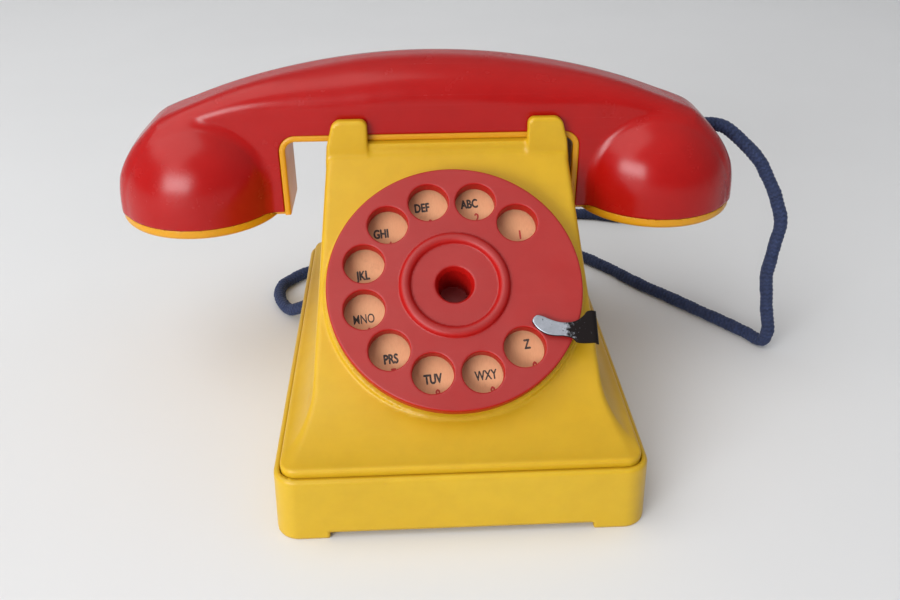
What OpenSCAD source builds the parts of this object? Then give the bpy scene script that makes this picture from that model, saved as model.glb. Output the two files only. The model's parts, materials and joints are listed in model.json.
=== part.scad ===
// Toy rotary-dial desk telephone.
// Units are millimetres. +Z is up, the dial faces -Y, and the origin is the
// centre of the base on the surface it stands on.

/* [Base tray] */
// Width of the base tray across the front
base_w = 106.6; // [105.8:0.1:107.4]
// Depth of the base tray from front to back
base_d = 144; // [143:0.2:145]
// Height of the tray's top ledge
ledge_z = 21.4; // [20.8:0.1:22]
// Radius of the tray's upright corners
corner_r = 7; // [5:0.5:9]
// Round on the tray's top edge
edge_r = 1.4; // [0.8:0.1:1.4]
// Height of the four corner feet
foot_h = 2.2; // [1.6:0.1:2.6]
// Half-width of the gap between two feet
foot_gap = 38; // [34:0.5:42]

/* [Housing] */
// Wall thickness of the housing
wall = 2.2; // [1.8:0.1:2.4]
// Height of the cradle deck
deck_z = 86.45; // [86:0.05:86.45]
// Height of the cradle prongs
prong_z = 94.3; // [92:0.1:96]
// Half-width of the gap between two prongs
prong_in = 25.5; // [22:0.5:28]

/* [Dial] */
// Slope of the dial face
tilt = 40.28; // [40:0.01:40.6]
// Radius of the dial wheel
dial_r = 38.23; // [37:0.01:38.4]
// Radius of the finger-hole circle
hole_pcr = 27.84; // [27:0.01:28.2]
// Radius of one finger hole
finger_r = 6.1; // [5.6:0.1:6.4]
// Angle from one finger hole to the next
hole_step = 30; // [28:0.5:30]
// Radius of the dial's hub tube
hub_r = 6.5; // [6.4:0.05:6.52]

/* [Handset] */
// Sideways place of the handset's middle in its cradle
hs_x = -5.6; // [-5.6:0.2:-4.6]
// Width of the handle from front to back
handle_w = 29; // [28:0.5:29]
// Distance of each cup's axis from the handset's middle
cup_x = 77.3; // [76:0.1:78]
// Radius of the cup's rim
cup_r = 27.5; // [27:0.1:27.8]
// Wall thickness of the handset shells
hs_t = 2; // [1.8:0.1:2.2]

/* [Cord] */
// Radius of the cord
cord_r = 2.35; // [2.2:0.05:2.4]

/* [Hidden] */

gap = 0.05;             // working gap between pieces that touch
screw_r = 1.45;
screw_head_r = 3;

// Tray
floor_z = foot_h + 2;   // top of the tray's floor
tray_wall_x = 2.1;      // side walls
tray_wall_y = 1.9;      // front and back walls
foot_d = 19;            // length of a foot from front to back
rib_in = 9;             // from the tray's outside to the rib that joins the feet
rib_t = 2;
post_x = 38;            // screw posts
post_y = 56;
exit_y = 45;            // the cord's way out, in the left wall
exit_z = 8.2;

// Housing
skirt_w = base_w - 4.6; // skirt inside the tray's lip
skirt_d = base_d - 4.2;
skirt_z0 = 8;           // bottom of the skirt
skirt_z = 23.6;         // top of the skirt, where the flare starts
skirt_h = skirt_z - skirt_z0;
skirt_r = 5;
skirt_edge_r = 1.2;
deck_half = 38.5;       // half-width of the deck
deck_front = 12;
deck_back = 49;
prong_t = 3.2;

// Dial work. Places are in the dial's own axes; a depth is measured inward
// from the dial's front plane.
dial_c = [0, -28.65, 57.89];
face_depth = 7.5;       // housing face
ring_depth = 5.7;       // raised ring that carries the number card
sleeve_depth = 14;      // inner end of the dial's sleeve and the pin's boss
gong_depth = 20;        // inner end of the gong's boss
spring_depth = 13.4;    // inner end of both springs
gong_at = [0, 33, 0];
pin_at = [20, 8, 0];
stop_x = 39.4;          // finger stop's leg, where it enters the housing
stop_y = -19.2;         // lower side of the leg
stop_w = 9.6;
stop_t = 1;
stop_foot_x = 35.8;     // free end of the stop's foot
rivet_at = [37.4, stop_y + stop_w / 2, 0];
rivet_hole_r = 1.25;

// Handset
hs_y = 30;              // centre plane
top_arc_z = -102.5;     // centre of the arc along the handle's top
top_arc_r = 212.2;
top_r = 7;              // round along the top of the handle
dome_x = 75.3;
dome_z = 70.8;
dome_r = 28.2;
dome_h = 27;            // the dome is a little lower than it is wide
rim_z = 62;             // seam between the two shells at the cups
under_z = 86.5;         // underside of the handle
cut_x = 46.7;           // half-width of the cut-out
cut_r = 2.8;            // round in the cut-out's upper corners
lining_t = 1.5;         // lining of the cut-out
lining_z = 59.9;        // bottom of the lining
hs_hole_y = 36;         // the cord's hole in the handset
hs_hole_z = 82.6;

// ---- Shared helpers ----

function arc(cx, cy, r, from, to, steps) =
    [for (i = [0:steps]) let (a = from + (to - from) * i / steps) [cx + r * cos(a), cy + r * sin(a)]];

// Quadratic curve from start to end, pulled toward pull.
function curve(start, pull, end, steps) =
    [for (i = [0:steps]) let (t = i / steps)
        (1 - t) * (1 - t) * start + 2 * t * (1 - t) * pull + t * t * end];

// The points mirrored across x = 0, in reverse order.
function mirrored(pts) = [for (i = [len(pts) - 1:-1:0]) [-pts[i][0], pts[i][1]]];

// Catmull-Rom curve through the points, three steps to a span.
function spline_point(pts, i, t) =
    let (last = len(pts) - 1, before = pts[max(i - 1, 0)], start = pts[i],
         end = pts[min(i + 1, last)], after = pts[min(i + 2, last)])
    0.5 * (2 * start + (end - before) * t
        + (2 * before - 5 * start + 4 * end - after) * t * t
        + (3 * start - before - 3 * end + after) * t * t * t);
function spline(pts) =
    concat([for (i = [0:len(pts) - 2]) for (k = [0:2]) spline_point(pts, i, k / 3)],
        [pts[len(pts) - 1]]);

function unit(v) = v / max(norm(v), 1e-9);

// A tube along a line of points, closed at both ends.
module tube(path, r, sides = 8) {
    n = len(path);
    dir = [for (i = [0:n - 1]) unit(path[min(i + 1, n - 1)] - path[max(i - 1, 0)])];
    // side direction carried along the line without twist
    first = unit(cross(abs(dir[0][2]) > 0.9 ? [0, 1, 0] : [0, 0, 1], dir[0]));
    side = [for (i = 0, s = first; i < n;
        i = i + 1, s = i < n ? unit(s - (s * dir[i]) * dir[i]) : s) s];
    pts = [for (i = [0:n - 1]) let (across = cross(dir[i], side[i]))
        for (k = [0:sides - 1]) let (a = 360 * k / sides)
            path[i] + r * (cos(a) * side[i] + sin(a) * across)];
    walls = [for (i = [0:n - 2]) for (k = [0:sides - 1])
        let (this = i * sides, next = this + sides, k2 = (k + 1) % sides)
        [next + k, next + k2, this + k2, this + k]];
    polyhedron(points = pts, convexity = 6, faces = concat(
        [[for (k = [0:sides - 1]) k]],
        walls,
        [[for (k = [sides - 1:-1:0]) (n - 1) * sides + k]]));
}

module coil_spring(r, turns, z, rise, wire_r, steps)
    tube([for (i = [0:steps]) let (a = 360 * turns * i / steps)
        [r * cos(a), r * sin(a), z + rise * i / steps]], wire_r, 6);

// Upright cylinder whose lower end is at z.
module rod(r, h, z = 0) translate([0, 0, z]) cylinder(h = h, r = r);

module screw(head_z, head_h, shank_z, shank_h) {
    rod(screw_head_r, head_h, head_z, $fn = 40);
    rod(screw_r, shank_h, shank_z, $fn = 32);
}

// Children in the dial's axes: X to the right, Y up the slope and Z out of
// the face, with the origin at the given depth.
module on_dial(depth = 0)
    translate(dial_c) rotate([tilt, 0, 0]) translate([0, 0, -depth]) children();

module both_sides() for (m = [0, 1]) mirror([m, 0, 0]) children();
module at_posts() for (x = [-1, 1], y = [-1, 1]) translate([x * post_x, y * post_y, 0]) children();

// Half section of a slab with a round top edge.
module half_profile(half, h, edge) {
    square([half - edge, h]);
    square([half, h - edge]);
    translate([half - edge, h - edge]) circle(edge, $fn = 32);
}
module full_profile(half, h, edge) {
    half_profile(half, h, edge);
    mirror([1, 0]) half_profile(half, h, edge);
}

// A slab with round upright corners and a round top edge.
module rounded_slab(w, d, h, corner, edge) {
    x0 = w / 2 - corner;
    y0 = d / 2 - corner;
    translate([0, y0, 0]) rotate([90, 0, 0]) linear_extrude(2 * y0) full_profile(w / 2, h, edge);
    translate([-x0, 0, 0]) rotate([90, 0, 90]) linear_extrude(2 * x0) full_profile(d / 2, h, edge);
    for (x = [-1, 1], y = [-1, 1]) translate([x * x0, y * y0, 0])
        rotate_extrude($fn = 64) half_profile(corner, h, edge);
}

// A slab with round upright corners only.
module round_prism(w, d, h, corner) linear_extrude(h) {
    square([w - 2 * corner, d], center = true);
    square([w, d - 2 * corner], center = true);
    for (x = [-1, 1], y = [-1, 1])
        translate([x * (w / 2 - corner), y * (d / 2 - corner)]) circle(corner, $fn = 64);
}

// ---- Base ----

// Centred block at the height of the feet.
module foot_block(w, d, h) translate([0, 0, foot_h / 2]) cube([w, d, h], center = true);

module base_tray() {
    color("#dcb43c") difference() {
        rounded_slab(base_w, base_d, ledge_z, corner_r, edge_r);
        translate([0, 0, floor_z])
            round_prism(base_w - 2 * tray_wall_x, base_d - 2 * tray_wall_y, 40, corner_r - 2);
        // gaps between the corner feet, which a low inner rib joins
        difference() {
            union() {
                foot_block(2 * foot_gap, base_d + 4, foot_h);
                foot_block(base_w + 4, base_d - 2 * foot_d, foot_h);
            }
            difference() {
                foot_block(base_w - 2 * rib_in, base_d - 2 * rib_in, foot_h + 1);
                foot_block(base_w - 2 * (rib_in + rib_t), base_d - 2 * (rib_in + rib_t), foot_h + 2);
            }
        }
        // screw holes and their head recesses
        at_posts() {
            rod(1.7, 8, -1, $fn = 32);
            rod(3.4, 3.4, -1, $fn = 32);
        }
        // way out for the cord
        translate([-base_w / 2 - 1, exit_y, exit_z]) rotate([0, 90, 0])
            cylinder(h = 6, r = cord_r + 0.3, $fn = 48);
    }
}

module base_screws() {
    color("#9a9a9a") at_posts() screw(head_z = 0.7, head_h = 1.6, shank_z = 1, shank_h = 17);
}

// ---- Housing ----

// Side view [Y, Z] of the housing, from the front over the deck to the back.
function side_pts(inset) =
    let (front_low = [-skirt_d / 2 + inset, skirt_z - inset],
         front_pull = [-55.5 + 0.35 * inset, 25.27 - 0.94 * inset],
         slope_low = [-46.5 + sin(tilt) * inset, 32.9 - cos(tilt) * inset],
         slope_end_y = deck_front + inset,
         slope_end_z = slope_low[1] + tan(tilt) * (slope_end_y - slope_low[0]),
         back_high = [61.5 - 0.97 * inset, 34 - 0.23 * inset],
         back_pull = [63.4 - 0.9 * inset, 26 - 0.7 * inset],
         back_low = [skirt_d / 2 - inset, skirt_z - inset])
    concat(curve(front_low, front_pull, slope_low, 10),
        [[slope_end_y, slope_end_z], [slope_end_y, deck_z - inset], [deck_back - inset, deck_z - inset]],
        curve(back_high, back_pull, back_low, 8));

// Right half of the front view [X, Z], from the deck down to the skirt.
function front_half(inset) = concat([[deck_half - inset, deck_z + 1]],
    curve([42.8 - inset, 33 - 0.1 * inset], [43.6 - inset, 25.4 - 0.6 * inset],
        [skirt_w / 2 - inset, skirt_z - inset], 10));

// Housing above the skirt, with its outside moved in.
module housing_body(inset) {
    x0 = skirt_w / 2 - inset;
    y0 = skirt_d / 2 - inset;
    bottom = skirt_z - inset - 1;
    front = front_half(inset);
    intersection() {
        rotate([90, 0, 90]) translate([0, 0, -60]) linear_extrude(120)
            polygon(concat(side_pts(inset), [[y0, bottom], [-y0, bottom]]));
        rotate([90, 0, 0]) translate([0, 0, -80]) linear_extrude(160)
            polygon(concat(front, [[x0, bottom], [-x0, bottom]], mirrored(front)));
        translate([0, 0, skirt_z0]) round_prism(2 * x0, 2 * y0, 100, skirt_r - inset);
    }
}

// Skirt of the housing, lowered at the top by drop.
module skirt(drop = 0) translate([0, 0, skirt_z0])
    rounded_slab(skirt_w, skirt_d, skirt_h - drop, skirt_r, skirt_edge_r);

// Pair of cradle prongs whose front faces are at y.
module prongs(y) {
    outer_r = 2.6;
    inner_r = 2.2;
    both_sides() translate([0, y + prong_t, 0]) rotate([90, 0, 0]) linear_extrude(prong_t)
        polygon(concat([[deck_half, deck_z - 3], [deck_half - 0.05, deck_z + 1]],
            arc(35.2, prong_z - outer_r, outer_r, 0, 90, 6),
            arc(prong_in + inner_r, prong_z - inner_r, inner_r, 90, 180, 6),
            [[prong_in, deck_z - 3]]));
}

module housing_shell() difference() {
    union() {
        skirt();
        housing_body(0);
        prongs(deck_front);
        prongs(44.8);
        on_dial(face_depth + 1.2)
            cylinder(h = face_depth + 1.2 - ring_depth, r = 39.3, $fn = 160);
    }
    translate([0, 0, skirt_z0 - 1])
        round_prism(skirt_w - 2 * wall, skirt_d - 2 * wall, skirt_h + 1 - wall, skirt_r - wall);
    housing_body(wall);
}

// Screw posts from the tray's floor, kept inside the housing's outside.
module screw_posts() {
    drop = 0.8;
    intersection() {
        union() {
            skirt(drop);
            housing_body(drop);
            translate([0, 0, floor_z + gap]) round_prism(80, 120, 8, 4);
        }
        at_posts() rod(3.6, 24, floor_z + gap, $fn = 40);
    }
}

// Slots for the finger stop's leg and foot, and the blind hole of its rivet.
module stop_slots() {
    slot_y = stop_y - 0.2;
    slot_w = stop_w + 0.3;
    on_dial(12.5) translate([stop_x - 0.1, slot_y, 0]) cube([stop_t + 0.2, slot_w, 12]);
    on_dial(12.5) translate([stop_foot_x - 0.2, slot_y, 0])
        cube([stop_x - stop_foot_x + 0.3, slot_w, 2.75]);
    on_dial(10.2) translate(rivet_at) cylinder(h = 2, r = rivet_hole_r, $fn = 32);
}

module upper_housing() {
    notch_r = cord_r + 0.35;
    color("#e6c357") difference() {
        union() {
            housing_shell();
            // dial's sleeve, then the bosses of the striker's pin and the gong
            on_dial(sleeve_depth) cylinder(h = sleeve_depth - face_depth, r = 9, $fn = 64);
            on_dial(sleeve_depth) translate(pin_at)
                cylinder(h = sleeve_depth - face_depth - 1, r = 3, $fn = 32);
            on_dial(gong_depth) translate(gong_at)
                cylinder(h = gong_depth - face_depth - 1, r = 3.2, $fn = 32);
            screw_posts();
        }
        // bores of the sleeve, the two bosses and the screw posts
        on_dial(sleeve_depth + 0.5) cylinder(h = 16, r = hub_r + 0.06, $fn = 96);
        on_dial(sleeve_depth + 0.5) translate(pin_at) cylinder(h = 6, r = 1.55, $fn = 32);
        on_dial(gong_depth + 0.5) translate(gong_at) cylinder(h = 9.5, r = 1.5, $fn = 32);
        at_posts() rod(1.5, 17, 3, $fn = 32);
        // notch over the cord's way out
        translate([-skirt_w / 2 - 1, exit_y - notch_r, skirt_z0 - 1])
            cube([wall + 2, 2 * notch_r, exit_z + notch_r - skirt_z0 + 1]);
        stop_slots();
    }
}

// ---- Dial front ----

module number_card() {
    color("#d9a985") on_dial(ring_depth - gap) difference() {
        cylinder(h = 0.3, r = 37.8, $fn = 120);
        rod(7, 3, -1, $fn = 48);
    }
}

module finger_stop() {
    depth = 10.9;      // inner end of the leg
    tip_top = 2;       // height of the tip's outer face over the dial's front
    tip_t = 1.1;
    stop_top = stop_y + stop_w;
    foot_at = [stop_foot_x, stop_y, 0];
    // outline [X, Y] of the tip, in the dial's axes
    tip = [
        [24.1, -11.0], [26.5, -11.9], [31.0, -13.5], [34.6, -13.1], [37.2, -11.2],
        [38.2, stop_top], [stop_x + stop_t, stop_top], [stop_x + stop_t, stop_y], [38.2, stop_y],
        [35.5, -18.6], [31.0, -17.5], [26.4, -16.8], [23.9, -15.4], [22.6, -13.2]];
    color("#2a2a2c") {
        on_dial(tip_t - tip_top) linear_extrude(tip_t) polygon(tip);
        on_dial(depth) translate([stop_x, stop_y, 0]) cube([stop_t, stop_w, depth + tip_top]);
        on_dial(depth) translate(foot_at) difference() {
            cube([stop_x - stop_foot_x + 0.5, stop_w, stop_t]);
            translate(rivet_at - foot_at) rod(rivet_hole_r, 3, -1, $fn = 32);
        }
    }
}

module finger_stop_rivet() {
    color("#a8a8aa") on_dial(10.95) translate(rivet_at) {
        rod(1.7, 0.9, -0.9, $fn = 32);
        rod(1.2, 3, -0.5, $fn = 32);
    }
}

module dial_wheel() {
    plate_t = 4.4;
    bore_r = 4.3;
    first_hole = 44.65;   // angle of the first finger hole
    color("#c64b4b") on_dial() difference() {
        union() {
            rod(dial_r, plate_t, -plate_t, $fn = 160);
            rod(hub_r, 15, -19, $fn = 96);
            // raised ring around the hub
            rotate_extrude($fn = 96)
                polygon(concat([[13.2, -0.5]], arc(14.83, 0, 1.62, 180, 0, 10), [[16.45, -0.5]]));
        }
        for (k = [0:9]) rotate([0, 0, first_hole + hole_step * k]) translate([hole_pcr, 0, -6])
            cylinder(h = 8, r = finger_r, $fn = 64);
        // bore and its flared mouth
        translate([0, 0, -2.5]) cylinder(h = 3, r1 = bore_r, r2 = 6.2, $fn = 64);
        rod(bore_r, 21, -20, $fn = 64);
    }
}

// ---- Dial and bell work inside the housing ----

// Coil spring around the dial's sleeve.
module dial_return_spring() {
    color("#b9bcc0") on_dial(spring_depth)
        coil_spring(r = 10.3, turns = 2.6, z = 0.2, rise = 2.6, wire_r = 0.45, steps = 52);
}

module click_wheel() {
    teeth = 12;
    // corners of one tooth: angle, radius
    tooth = [[0, 9.2], [8, 11], [14, 11], [22, 9.2]];
    color("#e8e8e0") on_dial(16.6) difference() {
        linear_extrude(2.45) polygon([for (i = [0:teeth - 1]) for (corner = tooth)
            let (a = 360 * i / teeth + corner[0] + 3) corner[1] * [cos(a), sin(a)]]);
        rod(hub_r + gap, 5, -1, $fn = 64);
    }
}

module hub_clip() {
    color("#9a9a9a") on_dial(17.7) difference() {
        cylinder(h = 1, r = 9, $fn = 64);
        rod(hub_r + gap, 3, -1, $fn = 64);
    }
}

// Cup-shaped bell, open toward the dial's face.
module gong() {
    bore_r = 1.7;
    t = 0.8;
    bend_x = 10.5;
    bend_z = -15.85;
    bend_r = 5;
    rim = -14.6;
    color("#b8bcc2") on_dial() translate(gong_at) rotate_extrude($fn = 96) polygon(concat(
        [[bore_r, bend_z - bend_r + t], [bore_r, bend_z - bend_r]],
        arc(bend_x, bend_z, bend_r, -90, 0, 8),
        [[bend_x + bend_r, rim], [bend_x + bend_r - t, rim]],
        arc(bend_x, bend_z, bend_r - t, 0, -90, 8)));
}

module gong_screw() {
    color("#9a9a9a") on_dial() translate(gong_at)
        screw(head_z = -22.5, head_h = 1.6, shank_z = -21.5, shank_h = 9.5);
}

module striker_pin() {
    color("#9a9a9a") on_dial() translate(pin_at) {
        rod(2.7, 1, -19.3, $fn = 40);
        rod(1.5, 10.2, -19, $fn = 48);
    }
}

// Coil spring around the striker pin's boss.
module striker_spring() {
    color("#b9bcc0") on_dial(spring_depth) translate(pin_at)
        coil_spring(r = 3.75, turns = 3.4, z = 0.1, rise = 2.6, wire_r = 0.3, steps = 44);
}

// Flat bar between two places in the dial's plane.
module bar(from, to, w, h) {
    run = to - from;
    translate(from) rotate([0, 0, atan2(run[1], run[0])])
        translate([0, -w / 2, 0]) cube([norm(run), w, h]);
}

// Two-armed lever on the pin: one arm to the hammer, one toward the hub.
module striker_arm() {
    color("#c7c7c9") on_dial(18) difference() {
        union() {
            translate(pin_at) cylinder(h = 3.8, r = 3.1, $fn = 48);
            translate([0, 0, 1.3]) bar(pin_at, [18.9, 29.2, 0], 2.2, 1.8);
            translate([0, 0, 1.3]) bar(pin_at, 11.25 * pin_at / norm(pin_at), 1.8, 1.8);
        }
        translate(pin_at) rod(1.56, 6, -1, $fn = 48);
    }
}

module striker_hammer() {
    color("#8f8f92") on_dial(18.1) translate([18.9, 31.5, 0]) cylinder(h = 3.1, r = 2.2, $fn = 40);
}

// ---- Handset ----
// Its solids are built about x = 0 and then moved to hs_x.

// Right half of the outline [X, Z] seen from the front.
function hs_half(inset) = concat(
    arc(0, top_arc_z, top_arc_r - inset, 90, 65.65 + 0.1 * inset, 14),
    arc(68.5, 57.9, 36 - inset, 45, 6.5, 6),
    [[cup_x + cup_r - 0.5 - inset, rim_z - 4]]);

// Extrudes a front view through the handset's full depth.
module through_hs() translate([0, hs_y + 40, 0]) rotate([90, 0, 0]) linear_extrude(80) children();

module hs_outline(inset) {
    half = hs_half(inset);
    through_hs() polygon(concat(mirrored(half), [for (i = [1:len(half) - 1]) half[i]]));
}

// The handle's top follows an arc and is rounded from front to back.
module hs_round_top(inset) {
    half = handle_w / 2 - inset;
    r = top_arc_r - inset;
    edge = top_r - inset;
    translate([0, hs_y, top_arc_z]) rotate([90, 0, 0]) rotate_extrude($fn = 240)
        polygon(concat([[150, -half]], arc(r - edge, -half + edge, edge, -90, 0, 6),
            arc(r - edge, half - edge, edge, 0, 90, 6), [[150, half]]));
}

// Block as deep as the handle.
module handle_block(x, w, z, h, inset = 0)
    translate([x, hs_y - handle_w / 2 + inset, z]) cube([w, handle_w - 2 * inset, h]);

// Handset above z, with its outside moved in.
module hs_solid(inset, z) {
    intersection() {
        hs_outline(inset);
        union() {
            intersection() {
                handle_block(-cup_x, 2 * cup_x, z, 60, inset);
                hs_round_top(inset);
            }
            both_sides() {
                // the handle runs on to the end of the cup, round in plan
                intersection() {
                    handle_block(cup_x - 1, 40, z, 60, inset);
                    hs_round_top(inset);
                    translate([cup_x, hs_y, z]) cylinder(h = 60, r = cup_r - inset, $fn = 128);
                }
                translate([dome_x, hs_y, dome_z]) scale([1, 1, dome_h / dome_r])
                    sphere(r = dome_r - inset, $fn = 96);
                translate([cup_x, hs_y, z])
                    cylinder(h = dome_z - z, r = cup_r - inset, $fn = 128);
            }
        }
        translate([-120, hs_y - 40, z]) cube([240, 80, 80]);
    }
}

// Cut-out under the handle, from z up, grown by grow.
module hs_cut(grow, z) {
    r = cut_r + grow;
    half = cut_x + grow;
    top = under_z + grow;
    through_hs() {
        translate([-half, z]) square([2 * half, top - r - z]);
        translate([-half + r, z]) square([2 * (half - r), top - z]);
        for (x = [-1, 1]) translate([x * (half - r), top - r]) circle(r, $fn = 48);
    }
}

// Upper shell: the handle's outside and the cups' domes, with a screw post in each.
module handset_back_shell() {
    color("#b52020") difference() {
        translate([hs_x, 0, 0]) union() {
            difference() {
                hs_solid(0, rim_z + gap / 2);
                hs_solid(hs_t, rim_z - 1);
                hs_cut(lining_t + gap, 40);
            }
            both_sides() intersection() {
                hs_solid(hs_t - 0.5, rim_z);
                translate([cup_x, hs_y, rim_z + gap]) cylinder(h = 50, r = 3.6, $fn = 40);
            }
        }
        for (m = [-1, 1]) translate([hs_x + m * cup_x, hs_y, rim_z - 1])
            cylinder(h = 14, r = 1.5, $fn = 32);
        // the cord's hole in the right end
        translate([60, hs_hole_y, hs_hole_z]) rotate([0, 90, 0])
            cylinder(h = 40, r = cord_r + 0.2, $fn = 48);
    }
}

// Lower shell: the cut-out's lining and the cups' caps.
module handset_inner_shell() {
    cap_t = 3.2;
    cap_edge_r = 1.5;
    ring_r = cup_r - hs_t - 1.6;
    ring_t = 1.4;
    ring_end = 53.5;   // the ring is cut off from here toward the middle
    color("#e0a030") translate([hs_x, 0, 0]) difference() {
        union() {
            // lining of the cut-out, flush with the handle's faces
            difference() {
                intersection() {
                    handle_block(-60, 120, lining_z, 40);
                    hs_cut(lining_t, lining_z);
                }
                hs_cut(0, 40);
            }
            both_sides() {
                // floor between the lining and the cup
                handle_block(cut_x, 14, lining_z, rim_z - lining_z);
                translate([cup_x, hs_y, rim_z]) rotate_extrude($fn = 128) polygon(concat(
                    [[0, 0], [cup_r - gap, 0]],
                    arc(cup_r - gap - cap_edge_r, cap_edge_r - cap_t, cap_edge_r, 0, -90, 6),
                    [[0, -cap_t]]));
                // ring that centres the cap in the cup
                translate([cup_x, hs_y, rim_z - 0.5]) difference() {
                    cylinder(h = 4, r = ring_r, $fn = 96);
                    rod(ring_r - ring_t, 6, -1, $fn = 96);
                    translate([-cup_r - cup_x + ring_end, -40, 0.5]) cube([cup_r, 80, 8]);
                }
            }
        }
        // screw holes and their head recesses
        for (m = [-1, 1]) translate([m * cup_x, hs_y, 55]) {
            cylinder(h = 12, r = 1.65, $fn = 32);
            cylinder(h = rim_z - 56.4, r = 3.3, $fn = 40);
        }
    }
}

module handset_screws() {
    color("#9a9a9a") for (m = [-1, 1]) translate([hs_x + m * cup_x, hs_y, rim_z])
        screw(head_z = -2.8, head_h = 1.35, shank_z = -2, shank_h = 13);
}

// ---- Cord ----

// Path [X, Y, Z] of the cord: out of the tray, round behind the housing on the
// table, and up to the tail that hangs out of the handset's right end.
table_z = cord_r + 0.05;   // cord's centre where it lies on the table
cord_path = [
    [-48.8, 45, exit_z], [-54, 45, exit_z], [-57.8, 46.6, 5.8], [-61.6, 50.8, table_z + 0.4],
    [-65.4, 57, table_z], [-67.2, 65, table_z], [-65.2, 74, table_z], [-58, 81.8, table_z],
    [-44, 90, table_z], [-20, 106, table_z], [8, 127, table_z], [40, 146, table_z],
    [72, 152, table_z], [96, 148.5, table_z], [106, 138.5, table_z], [99, 129.6, table_z],
    [86, 129.6, table_z], [71, 133.5, table_z], [56, 132, table_z], [46.5, 121.5, table_z],
    [49, 107.5, table_z], [58, 96.5, table_z], [71.4, 80.5, table_z], [83, 64.5, table_z],
    [96, 48.8, table_z], [106.5, 36, table_z], [114.9, 25.2, table_z],
    [119.2, 18.8, table_z + 0.2], [120.2, 18.2, 7], [119.2, 19.8, 14], [118, 21.2, 23],
    [117.8, 22.4, 33], [119.4, 24.6, 44], [119.8, 26, 51], [117.6, 27.8, 58],
    [113.8, 29.4, 65.4], [109, 31, 72], [105.6, 32.2, 75.6], [102.6, 33.4, 78.2]];

// Path [X, Y, Z] of the tail, from inside the handset outward.
tail_path = [
    [79.2, hs_hole_y, hs_hole_z], [86, hs_hole_y, hs_hole_z], [91.6, hs_hole_y, hs_hole_z],
    [94.8, 35.9, 82.3], [98.8, 35, 81], [102.4, 33.5, 78.4]];

// Ring that stands for a knot, with its axis along X.
module knot(at) color("#28407a") translate(at) rotate([0, 90, 0])
    rotate_extrude($fn = 64) translate([2.2, 0]) circle(1.65, $fn = 32);

module cord() color("#28407a") tube(spline(cord_path), cord_r);
module handset_cord_end() color("#28407a") tube(spline(tail_path), cord_r);
module handset_cord_knot() knot([77.4, hs_hole_y, hs_hole_z]);
module base_cord_knot() knot([-46.7, exit_y, exit_z]);

base_tray();
upper_housing();
base_screws();
number_card();
finger_stop();
finger_stop_rivet();
dial_return_spring();
gong();
gong_screw();
striker_pin();
striker_spring();
base_cord_knot();
cord();
dial_wheel();
click_wheel();
hub_clip();
striker_arm();
striker_hammer();
handset_back_shell();
handset_inner_shell();
handset_screws();
handset_cord_end();
handset_cord_knot();
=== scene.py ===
"""Toy rotary-dial telephone: a yellow housing on a tray, a red dial and a red and yellow handset.

It stands on z = 0 with its front towards -y. The dial faces forward and up, the handset lies
along x across the top, and the cord runs from the tray's left wall, round behind, to the
handset's right end. Pieces are distance fields in millimetres (negative inside), meshed by
dual contouring. Dial pieces use their own axes: u right, v up the slope, w out of the face.
"""
import json
import math
from functools import reduce

import bpy
import numpy as np
from mathutils import Matrix, Vector


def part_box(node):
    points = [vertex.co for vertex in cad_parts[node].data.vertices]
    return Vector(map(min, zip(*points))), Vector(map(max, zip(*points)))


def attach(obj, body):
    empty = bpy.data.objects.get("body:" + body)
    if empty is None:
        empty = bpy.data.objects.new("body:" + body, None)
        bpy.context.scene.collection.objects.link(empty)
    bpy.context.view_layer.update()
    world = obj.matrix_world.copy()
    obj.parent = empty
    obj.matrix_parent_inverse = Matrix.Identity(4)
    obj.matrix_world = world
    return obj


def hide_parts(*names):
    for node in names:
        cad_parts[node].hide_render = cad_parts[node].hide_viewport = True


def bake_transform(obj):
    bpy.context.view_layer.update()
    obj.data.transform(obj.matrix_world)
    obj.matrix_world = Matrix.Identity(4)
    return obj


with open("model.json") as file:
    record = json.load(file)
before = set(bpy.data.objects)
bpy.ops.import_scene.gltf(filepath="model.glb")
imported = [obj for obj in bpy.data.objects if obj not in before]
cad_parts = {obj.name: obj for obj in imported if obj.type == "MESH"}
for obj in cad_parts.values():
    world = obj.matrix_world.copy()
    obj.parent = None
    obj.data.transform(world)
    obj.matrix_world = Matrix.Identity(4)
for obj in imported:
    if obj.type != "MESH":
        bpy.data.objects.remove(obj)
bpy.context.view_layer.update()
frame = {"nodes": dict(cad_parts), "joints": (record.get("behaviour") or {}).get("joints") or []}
MM = 0.001


def box_mm(node):
    """Low and high corners of a CAD node, in millimetres."""
    return [np.array(corner) * 1000 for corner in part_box(node)]


# ------------------------------------------------------------------ driving dimensions (mm)
TRAY_X, TRAY_Y, TRAY_TOP = box_mm("base_tray")[1]              # half width, half depth, height
HOUSING_X, HOUSING_Y, HOUSING_TOP = box_mm("upper_housing")[1]
inner_low, inner_high = box_mm("handset_inner_shell")
HANDSET_X, HANDSET_Y = ((inner_low + inner_high) / 2)[:2]      # centre of the handset
HANDSET_LEFT, HANDSET_RIGHT = (corner[0] for corner in box_mm("handset_back_shell"))

dial_joint = next(j for j in frame["joints"] if j["name"] == "dial_turn")
DIAL_CENTRE = np.array(dial_joint["pos_m"]) * 1000
DIAL_W = -np.array(dial_joint["axis"])
DIAL_W /= np.linalg.norm(DIAL_W)
DIAL_U = np.array([1.0, 0.0, 0.0])
DIAL_V = np.cross(DIAL_W, DIAL_U)
TILT = math.atan2(-DIAL_W[1], DIAL_W[2])
SIN_TILT, COS_TILT = math.sin(TILT), math.cos(TILT)

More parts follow.
